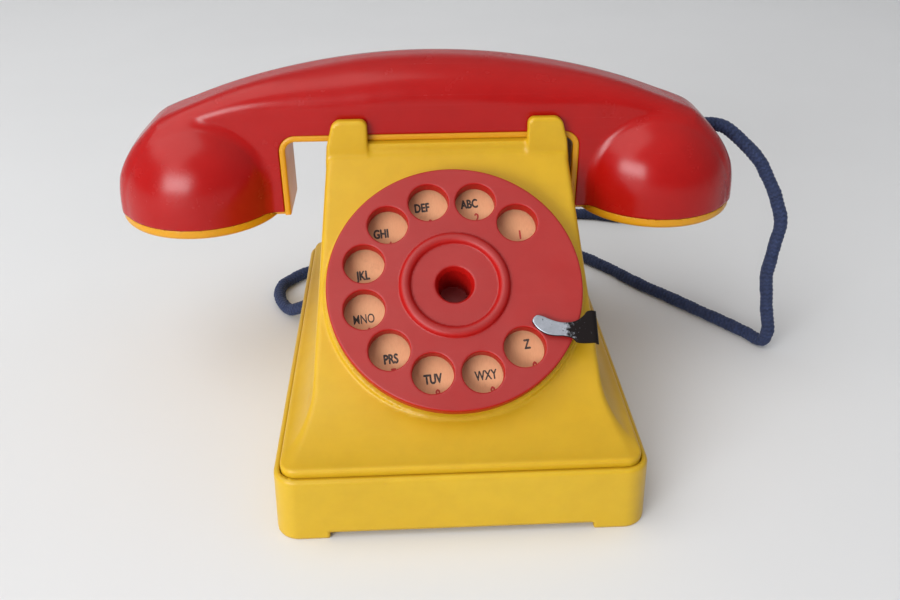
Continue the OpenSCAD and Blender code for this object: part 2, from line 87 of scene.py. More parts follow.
DECK_Z = 86.45                  # flat top of the housing
RIM_Z = 62.0                    # lower edge of the handset's red shell
TRAY_HOLE = (45, 8.2)           # (y, z) of the cord hole in the tray's left wall
HANDSET_HOLE = (36, 82.6)       # (y, z) of the cord hole in the handset's right end
SCREW_X, SCREW_Y = 38, 56       # base screws, either side of the centre
CUP_X = 77.3                    # centre of each handset cup, out from the handset's centre
CUP_RADIUS = 27.5


# ------------------------------------------------------------------ distance-field helpers
def meet(a, b, radius):
    """What a and b share, with a rounded edge."""
    u, v = np.maximum(a + radius, 0), np.maximum(b + radius, 0)
    return np.minimum(-radius, np.maximum(a, b)) + np.sqrt(u * u + v * v)


def join(a, b, radius):
    """a and b together, with a filleted corner."""
    u, v = np.maximum(radius - a, 0), np.maximum(radius - b, 0)
    return np.maximum(radius, np.minimum(a, b)) - np.sqrt(u * u + v * v)


def cut(a, b, radius):
    """a with b taken away, with a rounded edge."""
    return meet(a, -b, radius)


def common(*fields):
    """What all the fields share, with sharp edges."""
    return reduce(np.maximum, fields)


def slab(value, centre, half):
    return np.abs(value - centre) - half


def distance(a, b):
    return np.sqrt(a * a + b * b)


def beyond(dx, dy):
    """Distance outside the corner at (0, 0) of a quarter plane, negative inside it."""
    return np.hypot(np.maximum(dx, 0), np.maximum(dy, 0)) + np.minimum(np.maximum(dx, dy), 0)


def corner(a, b, edge_a, edge_b, radius):
    """The region below both edges, its corner rounded."""
    return beyond(a - (edge_a - radius), b - (edge_b - radius)) - radius


def wall(a, b, point, normal):
    """Signed distance from a plane seen edge on."""
    length = math.hypot(*normal)
    return ((a - point[0]) * normal[0] + (b - point[1]) * normal[1]) / length


def polygon(x, y, corners):
    nearest, outside = None, None
    for i, (ax, ay) in enumerate(corners):
        bx, by = corners[(i + 1) % len(corners)]
        ex, ey = bx - ax, by - ay
        wx, wy = x - ax, y - ay
        t = np.clip((wx * ex + wy * ey) / (ex * ex + ey * ey), 0, 1)
        square = (wx - ex * t) ** 2 + (wy - ey * t) ** 2
        above, below, left = y >= ay, y < by, (ex * wy) > (ey * wx)
        crossing = (above & below & left) | (~above & ~below & ~left)
        nearest = square if nearest is None else np.minimum(nearest, square)
        outside = crossing if outside is None else outside ^ crossing
    return np.where(outside, -1.0, 1.0) * np.sqrt(nearest)


def ease(start, end, x):
    """Smooth rise from 0 at start to 1 at end."""
    t = np.clip((x - start) / (end - start), 0, 1)
    return t * t * (3 - 2 * t)


def spline(points, steps, closed=False):
    """Catmull-Rom curve through the points."""
    P = np.asarray(points, float)
    padded = np.concatenate([P[-1:], P, P[:2]] if closed else [P[:1], P, P[-1:]])
    curve = []
    for i in range(len(padded) - 3):
        a, b, c, d = padded[i:i + 4]
        for k in range(steps):
            t = k / steps
            curve.append(0.5 * (2 * b + (c - a) * t + (2 * a - 5 * b + 4 * c - d) * t * t
                                + (3 * b - a - 3 * c + d) * t ** 3))
    if not closed:
        curve.append(P[-1])
    return np.array(curve)


# ------------------------------------------------------------------ dual contouring
GRADIENT_STEP = 1e-3
PULL_TO_MEAN = 0.06             # holds each vertex near the mean of its crossings
# the four cells round a grid edge that runs along x, y or z
CELLS_ROUND_EDGE = (
    [(0, -1, -1), (0, 0, -1), (0, 0, 0), (0, -1, 0)],
    [(-1, 0, -1), (-1, 0, 0), (0, 0, 0), (0, 0, -1)],
    [(-1, -1, 0), (0, -1, 0), (0, 0, 0), (-1, 0, 0)],
)


def gradient(field, p):
    """Field value and slope at each point."""
    x, y, z = p[:, 0], p[:, 1], p[:, 2]
    e = GRADIENT_STEP
    value = field(x, y, z)
    slope = np.stack([(field(x + e, y, z) - value) / e,
                      (field(x, y + e, z) - value) / e,
                      (field(x, y, z + e) - value) / e], 1)
    return value, slope


def edge_crossings(values, low, step):
    """Where the surface crosses grid edges, and the four cells round each crossed edge."""
    inside = values < 0
    count = np.array(values.shape)
    points, quads = [], []
    for axis, offsets in enumerate(CELLS_ROUND_EDGE):
        near, far = [slice(None)] * 3, [slice(None)] * 3
        near[axis], far[axis] = slice(0, -1), slice(1, None)
        start = np.argwhere(inside[tuple(near)] != inside[tuple(far)])
        keep = np.ones(len(start), bool)
        for other in range(3):
            if other != axis:
                keep &= (start[:, other] > 0) & (start[:, other] < count[other] - 1)
        start = start[keep]
        end = start.copy()
        end[:, axis] += 1
        v0, v1 = values[tuple(start.T)], values[tuple(end.T)]
        point = low + start * step
        point[:, axis] += v0 / (v0 - v1) * step
        ring = np.stack([np.ravel_multi_index(tuple((start + np.array(o)).T), tuple(count - 1))
                         for o in offsets], 1)
        quads.append(np.where((v0 < 0)[:, None], ring, ring[:, ::-1]))
        points.append(point)
    return np.concatenate(points), np.concatenate(quads)


def contour(field, low, high, step):
    """Mesh field(x, y, z) = 0: vertices, quads and unit normals."""
    low, high = np.array(low, float), np.array(high, float)
    count = np.ceil((high - low) / step).astype(int) + 1
    x, y, z = (low[i] + step * np.arange(count[i]) for i in range(3))
    values = field(x[:, None, None], y[None, :, None], z[None, None, :])
    P, Q = edge_crossings(np.broadcast_to(values, tuple(count)), low, step)

    value, slope = gradient(field, P)
    size = np.maximum(np.linalg.norm(slope, axis=1), 1e-6)
    P = P - slope * (value / size ** 2)[:, None].clip(-0.5 * step, 0.5 * step)
    N = slope / size[:, None]

    # one vertex per cell, where the tangent planes of its crossings best agree
    used, index = np.unique(Q.ravel(), return_inverse=True)
    index = index.reshape(Q.shape)
    total = len(used)
    cell_of, crossing = index.ravel(), np.repeat(np.arange(len(P)), 4)

    def cell_sum(v):
        return np.bincount(cell_of, weights=v[crossing], minlength=total)

    crossings = np.bincount(cell_of, minlength=total).astype(float)
    mean = np.stack([cell_sum(P[:, k]) for k in range(3)], 1) / crossings[:, None]
    offset = (N * P).sum(1)
    AtA = np.empty((total, 3, 3))
    for i in range(3):
        for j in range(i, 3):
            AtA[:, i, j] = AtA[:, j, i] = cell_sum(N[:, i] * N[:, j])
    Atb = np.stack([cell_sum(N[:, k] * offset) for k in range(3)], 1)
    rest = Atb - np.einsum("nij,nj->ni", AtA, mean)
    V = mean + np.linalg.solve(AtA + PULL_TO_MEAN * np.eye(3), rest[:, :, None])[:, :, 0]

    cell_low = low + np.stack(np.unravel_index(used, tuple(count - 1)), 1) * step
    V = np.clip(V, cell_low + 0.02 * step, cell_low + 0.98 * step)
    value, slope = gradient(field, V)
    square = np.maximum((slope * slope).sum(1), 0.05)
    V = V - slope * (value / square)[:, None].clip(-0.6 * step, 0.6 * step)
    slope = gradient(field, V)[1]
    return V, index, slope / np.maximum(np.linalg.norm(slope, axis=1), 1e-9)[:, None]


# ------------------------------------------------------------------ meshes
def make_mesh(name, V, F, normals=None, smooth=True):
    """Object from vertices in mm and faces that all have the same number of corners."""
    mesh = bpy.data.meshes.new(name)
    V = np.asarray(V, float) * MM
    F = np.asarray(F)
    corners = F.shape[1]
    mesh.vertices.add(len(V))
    mesh.vertices.foreach_set("co", V.astype(np.float32).ravel())
    mesh.loops.add(F.size)
    mesh.loops.foreach_set("vertex_index", F.astype(np.int32).ravel())
    mesh.polygons.add(len(F))
    mesh.polygons.foreach_set("loop_start", np.arange(0, F.size, corners, dtype=np.int32))
    mesh.polygons.foreach_set("use_smooth", np.full(len(F), smooth))
    mesh.update(calc_edges=True)
    mesh.validate()
    if normals is not None:
        mesh.normals_split_custom_set_from_vertices(normals.astype(np.float32).tolist())
    return add_object(name, mesh)


def add_object(name, data):
    thing = bpy.data.objects.new(name, data)
    bpy.context.scene.collection.objects.link(thing)
    return thing


def dial_to_world(P):
    return DIAL_CENTRE + P[:, :1] * DIAL_U + P[:, 1:2] * DIAL_V + P[:, 2:3] * DIAL_W


def solid(name, field, low, high, step, in_dial_axes=False):
    """Mesh a field inside the box low..high on a grid of the given step."""
    V, F, N = contour(field, low, high, step)
    if in_dial_axes:
        V, N = dial_to_world(V), N @ np.stack([DIAL_U, DIAL_V, DIAL_W])
    return make_mesh(name, V, F, N)


def dress(thing, material, body, replaced=None):
    """Give a piece its material in a colour slot and its moving body, and hide the CAD node it
    stands for, if any.
    """
    thing.data.materials.append(material)
    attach(thing, body)
    if replaced:
        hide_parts(replaced)


# ------------------------------------------------------------------ shader graph
class Graph:
    """Adds nodes to a tree. An input may be given as a number, a colour or another output."""

    def __init__(self, tree):
        self.tree = tree
        self.coords = self.node("ShaderNodeTexCoord").outputs

    def set(self, node, inputs):
        for key, value in inputs.items():
            socket = node.inputs[key]
            if isinstance(value, bpy.types.NodeSocket):
                self.tree.links.new(value, socket)
            elif socket.type == "RGBA":
                socket.default_value = (*value, 1)
            else:
                socket.default_value = value

    def node(self, kind, inputs=None, **settings):
        node = self.tree.nodes.new(kind)
        for name, value in settings.items():
            setattr(node, name, value)
        self.set(node, inputs or {})
        return node

    def mapping(self, stretch=(1, 1, 1), turn=(0, 0, 0), shift=(0, 0, 0)):
        return self.node("ShaderNodeMapping", {
            "Scale": stretch, "Rotation": turn, "Location": shift,
            "Vector": self.coords["Object"]}).outputs[0]

    def noise(self, scale, detail=3.0, rough=0.5, **placing):
        """Noise over object space; placing holds arguments of mapping()."""
        vector = self.mapping(**placing) if placing else self.coords["Object"]
        return self.node("ShaderNodeTexNoise", {
            "Scale": scale, "Detail": detail, "Roughness": rough, "Distortion": 0.0,
            "Vector": vector}).outputs["Fac"]

    def ramp(self, value, *stops):
        """Grey ramp; each stop is (position, grey)."""
        node = self.node("ShaderNodeValToRGB", {0: value})
        elements = node.color_ramp.elements
        while len(elements) < len(stops):
            elements.new(0.5)
        for element, (position, grey) in zip(elements, stops):
            element.position = position
            element.color = (grey, grey, grey, 1)
        return node.outputs[0]

    def mix(self, factor, a, b):
        return self.node("ShaderNodeMix", data_type="RGBA",
                         inputs={0: factor, 6: a, 7: b}).outputs[2]

    def math(self, operation, *values):
        return self.node("ShaderNodeMath", dict(enumerate(values)),
                         operation=operation).outputs[0]

    def times(self, a, b):
        return self.math("MULTIPLY", a, b)

    def remap(self, value, span, to):
        """Carry the range span onto the range to."""
        return self.node("ShaderNodeMapRange",
                         dict(enumerate((value, *span, *to)))).outputs[0]

    def bump(self, height, strength, distance, normal=None):
        inputs = {"Strength": strength, "Distance": distance, "Height": height}
        if normal is not None:
            inputs["Normal"] = normal
        return self.node("ShaderNodeBump", inputs).outputs[0]

    def facing_out(self, span):
        """1 where the surface faces out of the dial, 0 where it turns away."""
        normal = self.node("ShaderNodeNewGeometry").outputs["Normal"]
        dot = self.node("ShaderNodeVectorMath", operation="DOT_PRODUCT",
                        inputs={0: normal, 1: tuple(DIAL_W)})
        return self.remap(dot.outputs["Value"], span, (0, 1))

    def scratches(self, seed, amount):
        """Thin, sparse straight marks: stretched noise in three directions, cut to its crest."""
        marks = None
        for k, angle in enumerate((0.5, -1.1, 1.9)):
            streak = self.noise(scale=1.0, detail=0.0, stretch=(14, 1500, 1500),
                                turn=(0.35 * k, 0.6 * angle, angle), shift=(seed, 2.1 * seed, k))
            line = self.ramp(streak, (0, 0), (0.70, 0), (0.80, 1), (1, 1))
            area = self.noise(scale=24.0 + 5 * k, detail=1.0, shift=(seed + k, 0, 0))
            patch = self.ramp(area, (0, 0), (0.48, 0), (0.62, 1), (1, 1))
            mark = self.times(line, patch)
            marks = mark if marks is None else self.math("MAXIMUM", marks, mark)
        return self.times(marks, amount)


def new_material(name):
    material = bpy.data.materials.new(name)
    material.use_nodes = True
    tree = material.node_tree
    tree.nodes.clear()
    output = tree.nodes.new("ShaderNodeOutputMaterial")
    shader = tree.nodes.new("ShaderNodeBsdfPrincipled")
    tree.links.new(shader.outputs[0], output.inputs[0])
    return material, Graph(tree), shader


def darker(colour, share):
    return tuple(share * c for c in colour)


# ------------------------------------------------------------------ materials
def plastic(name, tones, rough, seed, specular=0.5, subsurface=0.0, depth=0.003, scratch=0.06,
            grain=0.15, dirt=0.25, dirt_colour=(0.35, 0.22, 0.10)):
    """Moulded plastic in two close tones, with mottling, dark specks and light scratches."""
    material, g, shader = new_material(name)
    blotch = g.ramp(g.noise(scale=16, rough=0.55, shift=(seed, 0, 0)), (0.3, 0), (0.7, 1))
    colour = g.mix(blotch, *tones)
    mottle = g.noise(scale=170, detail=4, rough=0.6, shift=(0, seed, 0))
    colour = g.mix(g.remap(mottle, (0.35, 0.65), (0, 0.10)), colour, darker(tones[0], 0.55))
    speck = g.ramp(g.noise(scale=620, detail=2, shift=(0, 0, seed)),
                   (0, 0), (0.735, 0), (0.78, 1))
    grime = g.ramp(g.noise(scale=30, detail=5, rough=0.65, shift=(seed, seed, 0)),
                   (0.46, 0), (0.72, 1))
    colour = g.mix(g.times(g.times(speck, grime), dirt), colour, dirt_colour)
    marks = g.scratches(seed, scratch)
    pale = tuple(0.5 + 0.5 * c for c in tones[1])
    colour = g.mix(g.times(marks, 0.10), colour, pale)

    wear = g.noise(scale=60, detail=4, rough=0.6, shift=(seed, 3, 1))
    sheen = g.remap(wear, (0.3, 0.7), (rough - 0.05, rough + 0.07))
    sheen = g.math("ADD", sheen, g.times(marks, 0.12))

    fine = g.noise(scale=1500, detail=2)
    wavy = g.noise(scale=45, detail=2, shift=(seed, 1, 7))
    relief = g.bump(wavy, strength=0.06, distance=0.0010)
    relief = g.bump(fine, strength=grain, distance=0.00006, normal=relief)
    relief = g.bump(g.times(marks, -1.0), strength=0.15, distance=0.00003, normal=relief)
    g.set(shader, {"Base Color": colour, "Roughness": sheen, "Specular IOR Level": specular,
                   "Normal": relief})
    if subsurface:
        g.set(shader, {"Subsurface Weight": subsurface, "Subsurface Scale": depth,
                       "Subsurface Radius": (1.0, 0.45, 0.12)})
    return material


def metal(name, colour, rough, seed, stretch=(120, 2200, 700)):
    """Bare metal with brown spots; stretch sets the lay of its fine brushing."""
    material, g, shader = new_material(name)
    cloud = g.noise(scale=220, detail=4, rough=0.6, shift=(seed, 0, 0))
    tone = g.mix(g.remap(cloud, (0.3, 0.7), (0, 0.5)), colour, darker(colour, 0.6))
    spots = g.ramp(g.noise(scale=90, detail=5, rough=0.7, shift=(0, seed, 0)),
                   (0.58, 0), (0.72, 1))
    tone = g.mix(g.times(spots, 0.35), tone, (0.22, 0.14, 0.09))
    brushing = g.noise(scale=1.0, rough=0.6, stretch=stretch)
    g.set(shader, {"Base Color": tone, "Metallic": 1.0,
                   "Roughness": g.remap(brushing, (0.3, 0.7), (rough - 0.08, rough + 0.12)),
                   "Normal": g.bump(brushing, strength=0.25, distance=0.00003)})
    return material


def paint_dial_face_sheen(material):
    """Paint a pale sheen in patches on the dial's outward face, and paint its edges and ring
    flanks, which turn away from it, a deeper red as in shade.
    """
    g = Graph(material.node_tree)
    shader = next(n for n in g.tree.nodes if n.type == "BSDF_PRINCIPLED")
    plain = shader.inputs["Base Color"].links[0].from_socket
    face = g.facing_out((0.72, 0.985))
    face_sheen_patches = g.ramp(g.noise(scale=26, detail=5, rough=0.65, shift=(2, 5, 1)),
                   (0.35, 0), (0.75, 1))
    # painted shade: surfaces turned away from the dial's face take a deeper, more saturated red
    colour = g.mix(face, (0.40, 0.0045, 0.003), plain)
    # painted sheen: pale patches on the outward face stand in for reflected overhead light
    colour = g.mix(g.times(g.times(face, face_sheen_patches), 0.05), colour, (0.60, 0.30, 0.28))
    g.set(shader, {"Base Color": colour,
                   "Specular IOR Level": g.remap(face, (0, 1), (0.28, 0.5))})


def card_paper():
    """Buff card with short fibres and brown foxing."""
    material, g, shader = new_material("card_paper")
    fibre = g.noise(scale=1.0, detail=4, rough=0.6, stretch=(2600, 600, 600),
                    turn=(0, 0, 0.4))
    tone = g.noise(scale=70, detail=4, rough=0.6)
    colour = g.mix(g.remap(tone, (0.3, 0.7), (0, 1)), (0.64, 0.31, 0.155), (0.70, 0.36, 0.19))
    colour = g.mix(g.remap(fibre, (0.4, 0.7), (0, 0.25)), colour, (0.50, 0.22, 0.10))
    foxing = g.ramp(g.noise(scale=240, detail=4, rough=0.65), (0.6, 0), (0.72, 1))
    colour = g.mix(g.times(foxing, 0.35), colour, (0.42, 0.20, 0.10))
    g.set(shader, {"Base Color": colour, "Roughness": 0.8,
                   "Normal": g.bump(fibre, strength=0.3, distance=0.00004)})
    return material


def ink(name, colour):
    """Printing ink, thin enough in places for the card to show."""
    material, g, shader = new_material(name)
    wear = g.ramp(g.noise(scale=1400, detail=4, rough=0.7), (0.5, 0), (0.75, 1))
    g.set(shader, {"Base Color": g.mix(g.times(wear, 0.35), colour, (0.45, 0.25, 0.16)),
                   "Roughness": 0.7})
    return material


def worn_black_paint():
    """Black paint, worn to bare steel left of x = 32 mm or so on the outer face."""
    material, g, shader = new_material("finger_stop_worn_paint")
    x = g.node("ShaderNodeSeparateXYZ", {0: g.coords["Object"]}).outputs[0]
    broad = g.noise(scale=420, detail=5, rough=0.7)
    small = g.noise(scale=1300, rough=0.6)
    ragged = g.math("ADD", g.times(g.math("SUBTRACT", broad, 0.5), 0.0085),
                    g.times(g.math("SUBTRACT", small, 0.5), 0.004))
    bare = g.remap(g.math("ADD", x, ragged), (0.0335, 0.0310), (0, 1))
    chips = g.ramp(small, (0.68, 0), (0.74, 1))
    near_edge = g.remap(x, (0.0395, 0.0330), (0, 1))
    bare = g.math("MAXIMUM", bare, g.times(chips, near_edge))
    left_paint = g.ramp(g.noise(scale=900, rough=0.6, shift=(4, 0, 0)), (0.62, 1), (0.70, 0.35))
    bare = g.times(bare, left_paint)
    bare = g.times(bare, g.facing_out((0.45, 0.85)))
    steel = g.mix(g.remap(broad, (0.3, 0.7), (0, 1)), (0.47, 0.485, 0.54), (0.34, 0.36, 0.40))
    height = g.math("SUBTRACT", g.times(small, 0.3), bare)
    g.set(shader, {"Base Color": g.mix(bare, (0.010, 0.007, 0.007), steel),
                   "Specular IOR Level": g.remap(bare, (0, 1), (0.10, 0.5)),
                   "Metallic": g.times(bare, 0.85),
                   "Roughness": g.remap(bare, (0, 1), (0.42, 0.40)),
                   "Normal": g.bump(height, strength=0.4, distance=0.00006)})
    return material


def braid():
    """Dark blue thread, with painted shade darkening the grooves between strands."""
    material, g, shader = new_material("cord_braid")
    thread = g.noise(scale=520, detail=4, rough=0.7)
    broad = g.noise(scale=60, rough=0.6)
    colour = g.mix(g.remap(thread, (0.3, 0.7), (0, 1)),
                   (0.006, 0.013, 0.047), (0.022, 0.037, 0.110))
    colour = g.mix(g.remap(broad, (0.35, 0.7), (0, 0.45)), colour, (0.021, 0.032, 0.082))
    # painted shade: colour darkens with groove depth between the strands
    groove = g.node("ShaderNodeAttribute", attribute_name="groove").outputs["Fac"]
    colour = g.mix(g.times(groove, 0.75), colour, (0.003, 0.006, 0.022))
    pale = g.ramp(g.noise(scale=2300, detail=2), (0.62, 0), (0.74, 1))
    colour = g.mix(g.times(pale, 0.25), colour, (0.15, 0.19, 0.33))
    fibres = g.noise(scale=3200, rough=0.6)
    g.set(shader, {"Base Color": colour, "Roughness": 0.85, "Sheen Weight": 0.18,
                   "Sheen Roughness": 0.45, "Sheen Tint": (0.55, 0.65, 1.0),
                   "Normal": g.bump(fibres, strength=0.6, distance=0.00015)})
    return material


MATERIALS = {
    "housing": plastic("housing_yellow_plastic", tones=((0.565, 0.325, 0.008), (0.60, 0.36, 0.013)),
                       rough=0.36, seed=3.1, specular=0.36, subsurface=0.12),
    "tray": plastic("tray_yellow_plastic", tones=((0.555, 0.33, 0.010), (0.595, 0.37, 0.015)),
                    rough=0.36, seed=8.4, specular=0.36, subsurface=0.12, dirt=0.5),
    "handset_red": plastic("handset_red_plastic",
                           tones=((0.335, 0.0030, 0.0025), (0.375, 0.0042, 0.0035)),
                           rough=0.23, seed=5.7, specular=0.31, subsurface=0.06, depth=0.002,
                           scratch=0.08, grain=0.08, dirt_colour=(0.12, 0.008, 0.008)),
    "handset_yellow": plastic("handset_yellow_plastic",
                              tones=((0.62, 0.27, 0.006), (0.66, 0.31, 0.010)),
                              rough=0.32, seed=1.9, specular=0.36, subsurface=0.15),
    "dial": plastic("dial_red_plastic", tones=((0.320, 0.006, 0.005), (0.360, 0.009, 0.007)),
                    rough=0.42, seed=9.3, subsurface=0.06, depth=0.002,
                    scratch=0.10, grain=0.3, dirt_colour=(0.14, 0.012, 0.010)),
    "white": plastic("click_wheel_plastic", tones=((0.72, 0.71, 0.66), (0.66, 0.65, 0.60)),
                     rough=0.5, seed=2.2),
    "steel": metal("zinc_steel_metal", colour=(0.56, 0.56, 0.57), rough=0.34, seed=1.0),
    "spring": metal("spring_steel_metal", colour=(0.40, 0.41, 0.43), rough=0.28, seed=4.0),
    "bell": metal("bell_steel_metal", colour=(0.68, 0.69, 0.71), rough=0.16, seed=7.0,
                  stretch=(300, 300, 300)),
    "card": card_paper(),
    "black_ink": ink("card_black_ink", colour=(0.030, 0.022, 0.020)),
    "red_ink": ink("card_red_ink", colour=(0.42, 0.025, 0.02)),
    "stop": worn_black_paint(),
    "cord": braid(),
}
# painted sheen on the dial's outward face and painted shade on its flanks
paint_dial_face_sheen(MATERIALS["dial"])

# ------------------------------------------------------------------ upper housing
# flat walls: a point and the outward normal, seen from the side as (y, z)
SKIRT_Z = 23.6                                    # where the skirt's slopes reach its edge
INCLINE = (-46.5, 32.9), (-SIN_TILT, COS_TILT)    # carries the dial
FRONT_SKIRT = (-HOUSING_Y, SKIRT_Z), (-math.sin(0.1155), math.cos(0.1155))
BACK_WALL = (49, DECK_Z), (52.45, 12.5)
BACK_SKIRT = (HOUSING_Y, SKIRT_Z), (0.347, 0.938)
# and from the front as (|x|, z)
SIDE_WALL = (42.8, 33.0), (54.45, 4.3)
SIDE_SKIRT = (HOUSING_X, SKIRT_Z), (0.327, 0.945)
PRONG_OUTER = (38.5, DECK_Z), (0.964, 0.265)
TOWER_FRONT_Y = 12.8
HOUSING_BOTTOM = 8.0
HOUSING_SHELL = 2.2
PRONG_INNER_X = 25.5
PRONG_ROWS_Y = 13.6, 46.4
PRONG_HALF_THICK = 1.6
BOSS_RADIUS, BOSS_DEPTHS = 39.3, (5.7, 12)        # depths are measured below the dial face
SLEEVE_RADIUS, SLEEVE_DEPTHS = 9.0, (7.0, 14.0)
SPINDLE_BORE = 6.58


def housing_profile(y, z):
    """The housing seen from the side."""
    front = join(wall(y, z, *INCLINE), TOWER_FRONT_Y - y, 1.42)
    front = join(front, wall(y, z, *FRONT_SKIRT), 7.2)
    back = join(wall(y, z, *BACK_WALL), wall(y, z, *BACK_SKIRT), 6.0)
    return meet(meet(front, z - DECK_Z, 1.0), back, 2.2)


def prongs(x, y, z):
    """Four upright plates above the deck, flared at the foot of their inner edge."""
    across = np.abs(x)
    outer = common(wall(across, z, *PRONG_OUTER), wall(across, z, *SIDE_WALL))
    foot = np.clip((86.0 - z) / 5.3, 0, 1)
    plate = meet(z - HOUSING_TOP, outer, 2.4)
    plate = meet(plate, PRONG_INNER_X - across - 1.1 * foot * foot, 2.2)
    plate = common(plate, 79.0 - z)
    rows = np.minimum(*(np.abs(y - row) for row in PRONG_ROWS_Y)) - PRONG_HALF_THICK
    return meet(plate, rows, 0.85)


def housing(x, y, z):
    across = np.abs(x)
    plan = corner(across, np.abs(y), HOUSING_X, HOUSING_Y, 5.0)
    profile = housing_profile(y, z)
    ends = join(wall(across, z, *SIDE_WALL), wall(across, z, *SIDE_SKIRT), 5.9)
    body = meet(meet(profile, ends, 1.8), plan, 0.7)
    body = meet(body, HOUSING_BOTTOM - z, 0.5)
    body = join(body, prongs(x, y, z), 0.7)

    v = (y - DIAL_CENTRE[1]) * COS_TILT + (z - DIAL_CENTRE[2]) * SIN_TILT
    depth = (y - DIAL_CENTRE[1]) * SIN_TILT - (z - DIAL_CENTRE[2]) * COS_TILT
    rho = distance(x, v)
    boss = common(meet(rho - BOSS_RADIUS, BOSS_DEPTHS[0] - depth, 0.5), depth - BOSS_DEPTHS[1])
    body = join(body, boss, 1.0)
    body = cut(body, common(profile, ends, plan) + HOUSING_SHELL, 0.3)
    sleeve = common(rho - SLEEVE_RADIUS, depth - SLEEVE_DEPTHS[1], SLEEVE_DEPTHS[0] - depth)
    body = np.minimum(body, sleeve)
    cord_notch = common(slab(y, TRAY_HOLE[0], 2.7), x + 40, z - 10.9)
    return common(body, -cord_notch, -(rho - SPINDLE_BORE))


def build_housing():
    shell = solid("housing_shell", housing, (-HOUSING_X - 1.3, -HOUSING_Y - 1.4, 6.7),
                  (HOUSING_X + 1.5, HOUSING_Y + 1.6, HOUSING_TOP + 1.4), step=0.8)
    dress(shell, MATERIALS["housing"], "base", "upper_housing")


# ------------------------------------------------------------------ base tray
TRAY_CORNER = 7.0
TRAY_FLOOR_TOP = 4.2
UNDER_DEPTH = 2.2               # recess in the underside
UNDER_REACH = 90                # past the tray's edges
RIB_INSET = 9, 11               # outer and inner edge of the rib left in the recess
SCREW_SINK_RADIUS, SCREW_SINK_TOP = 3.4, 2.4
SCREW_HOLE_RADIUS = 1.7


def tray(x, y, z):
    across, along = np.abs(x), np.abs(y)
    draft = 0.35 - 0.035 * (z - 0.5)
    plan = corner(across, along, TRAY_X + draft, TRAY_Y + 0.2 * draft, TRAY_CORNER)
    body = meet(meet(plan, z - TRAY_TOP, 1.2), -z, 0.5)
    cavity = common(corner(across, along, TRAY_X - 2.1, TRAY_Y - 1.9, 5.0), TRAY_FLOOR_TOP - z)
    body = cut(body, cavity, 0.3)

    # a cross-shaped recess underneath, with a rectangular rib standing in it
    cross = np.minimum(common(across - 38, along - UNDER_REACH),
                       common(along - (TRAY_Y - 19), across - UNDER_REACH))
    outer, inner = (common(across - (TRAY_X - i), along - (TRAY_Y - i)) for i in RIB_INSET)
    rib = common(outer, -inner)
    body = cut(body, common(cross, z - UNDER_DEPTH, -rib), 0.45)

    rho = distance(across - SCREW_X, along - SCREW_Y)
    sink = common(rho - SCREW_SINK_RADIUS, z - SCREW_SINK_TOP)
    body = common(body, -sink, -(rho - SCREW_HOLE_RADIUS))
    cord_hole = common(distance(y - TRAY_HOLE[0], z - TRAY_HOLE[1]) - 2.65, x + 46)
    return cut(body, cord_hole, 0.4)


def build_tray():
    shell = solid("base_tray_shell", tray, (-TRAY_X - 1.2, -TRAY_Y - 1.3, -1.0),
                  (TRAY_X + 1.2, TRAY_Y + 1.3, TRAY_TOP + 1.2), step=0.8)
    dress(shell, MATERIALS["tray"], "base", "base_tray")


# ------------------------------------------------------------------ handset
HANDLE_HALF_Y = 14.5
TOP_CENTRE_Z, TOP_RADIUS = 102.5, 211.0     # top arc; its centre lies this far below z = 0
END_X, END_Z, END_RADIUS = 68.5, 57.9, 36   # arc at each end, from the handset's centre
DOME_Z, DOME_RISE = 68.0, 28.8              # top half of an ellipsoid over each cup
OPENING_X, OPENING_TOP, OPENING_CORNER = 46.7, 86.5, 3.5
RED_WALL = 2.0


def handset_body(x, y, z):
    """The whole handset, solid."""
    across = np.abs(x - HANDSET_X)
    dy = y - HANDSET_Y
    # the top is well rounded from front to back in the middle, less so at the ends,
    # where the handle is also shallower behind
    edge = 13.0 - 7.2 * ease(20, 76, across)
    thinning = 9.0 * ease(26, 68, across)
    top = (np.sqrt((x - HANDSET_X) ** 2 + (z + TOP_CENTRE_Z) ** 2) - TOP_RADIUS
           - (edge - 3.0) * 0.245 - 0.287 * thinning)
    hollow = 3.0 * ease(38, 49, across) * (1 - ease(60, 72, across)) * (1 - ease(85, 95, z))
    back = HANDLE_HALF_Y - thinning - hollow

    # ends: upright below, an arc, then a 45 degree slope
    a, b = across - END_X, z - END_Z
    outward, sideways = (a + b) / math.sqrt(2), (a - b) / math.sqrt(2)
    lower = np.where(b > 0, distance(a, b) - END_RADIUS, a - END_RADIUS)
    end = np.where(sideways <= 0, outward - END_RADIUS, lower)
    fullness = (0.18 * (edge - 4.8) + 0.2 * thinning) * np.clip((b - 4.0) / 24.0, 0, 1)
    end = end - 0.3 - fullness

    outline = meet(top, end, 0.9)
    thickness = common(-HANDLE_HALF_Y - dy, dy - back)
    cup_plan = np.sqrt(np.maximum(across - CUP_X, 0) ** 2 + dy * dy) - CUP_RADIUS
    handle = meet(meet(outline, thickness, edge), cup_plan, 1.5)

    rho = np.hypot(across - CUP_X + 2.0 * ease(62, 86, z), dy)
    rise = np.maximum(z - DOME_Z, 0)
    k0 = np.sqrt((rho / CUP_RADIUS) ** 2 + (rise / DOME_RISE) ** 2)
    k1 = np.sqrt((rho / CUP_RADIUS ** 2) ** 2 + (rise / DOME_RISE ** 2) ** 2)
    dome = meet(k0 * (k0 - 1) / np.maximum(k1, 1e-4), outline + 0.6, 2.0)
    dome = meet(dome, (dy - back - 1.0 - 0.9 * (97.0 - z)) / 1.345, 4.0)
    return join(handle, dome, 2.0)


def opening(x, z, margin):
    """The arch under the handle, between the cups."""
    return corner(np.abs(x - HANDSET_X), z, OPENING_X + margin, OPENING_TOP + margin,
                  OPENING_CORNER + margin)


